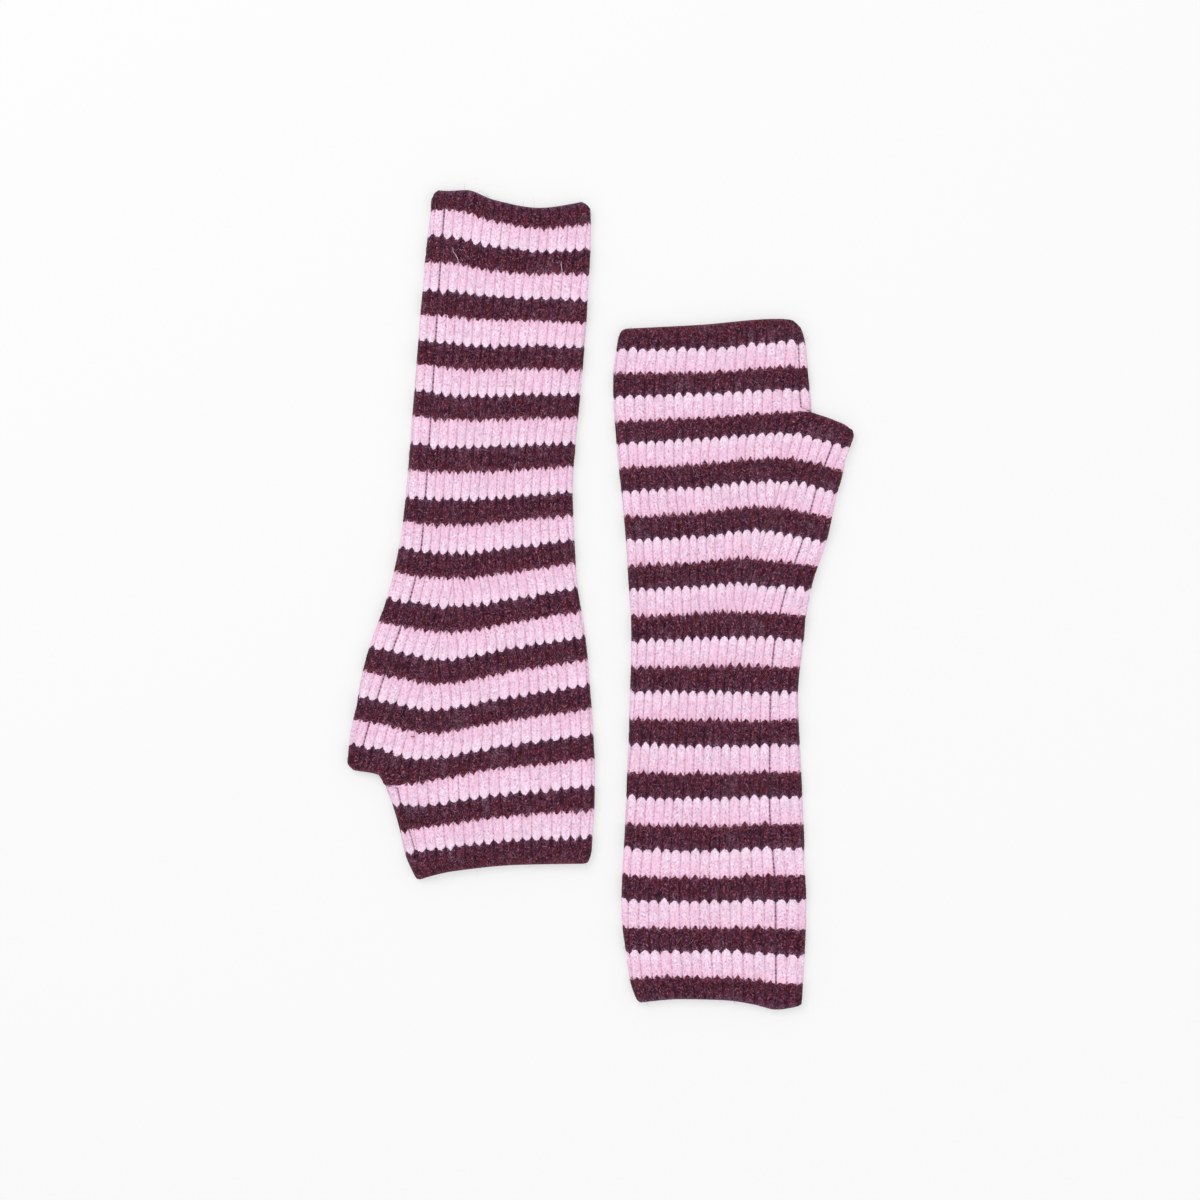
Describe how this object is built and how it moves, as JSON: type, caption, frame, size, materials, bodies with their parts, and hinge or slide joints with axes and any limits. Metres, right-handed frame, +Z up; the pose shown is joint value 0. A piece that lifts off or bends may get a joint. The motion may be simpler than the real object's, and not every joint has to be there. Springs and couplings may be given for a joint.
{
  "type": "pair of wrist warmers",
  "caption": "Pair of long ribbed wool wrist warmers with thumb openings, striped, lying flat and turned opposite ways.",
  "frame": {"origin": "middle of the pair's outline, on the surface that it lies on", "axes": "+Z up from that surface; +Y along the arms, towards the left warmer's arm opening and the right warmer's hand opening; the thumbs point to -X and +X"},
  "size_m": [0.2273, 0.368, 0.0048],
  "materials": {
    "striped_wool": "soft matt melange wool in burgundy and pale pink stripes"
  },
  "bodies": {
    "root": {"left_warmer": "striped_wool", "right_warmer": "striped_wool"}
  },
  "joints": []
}
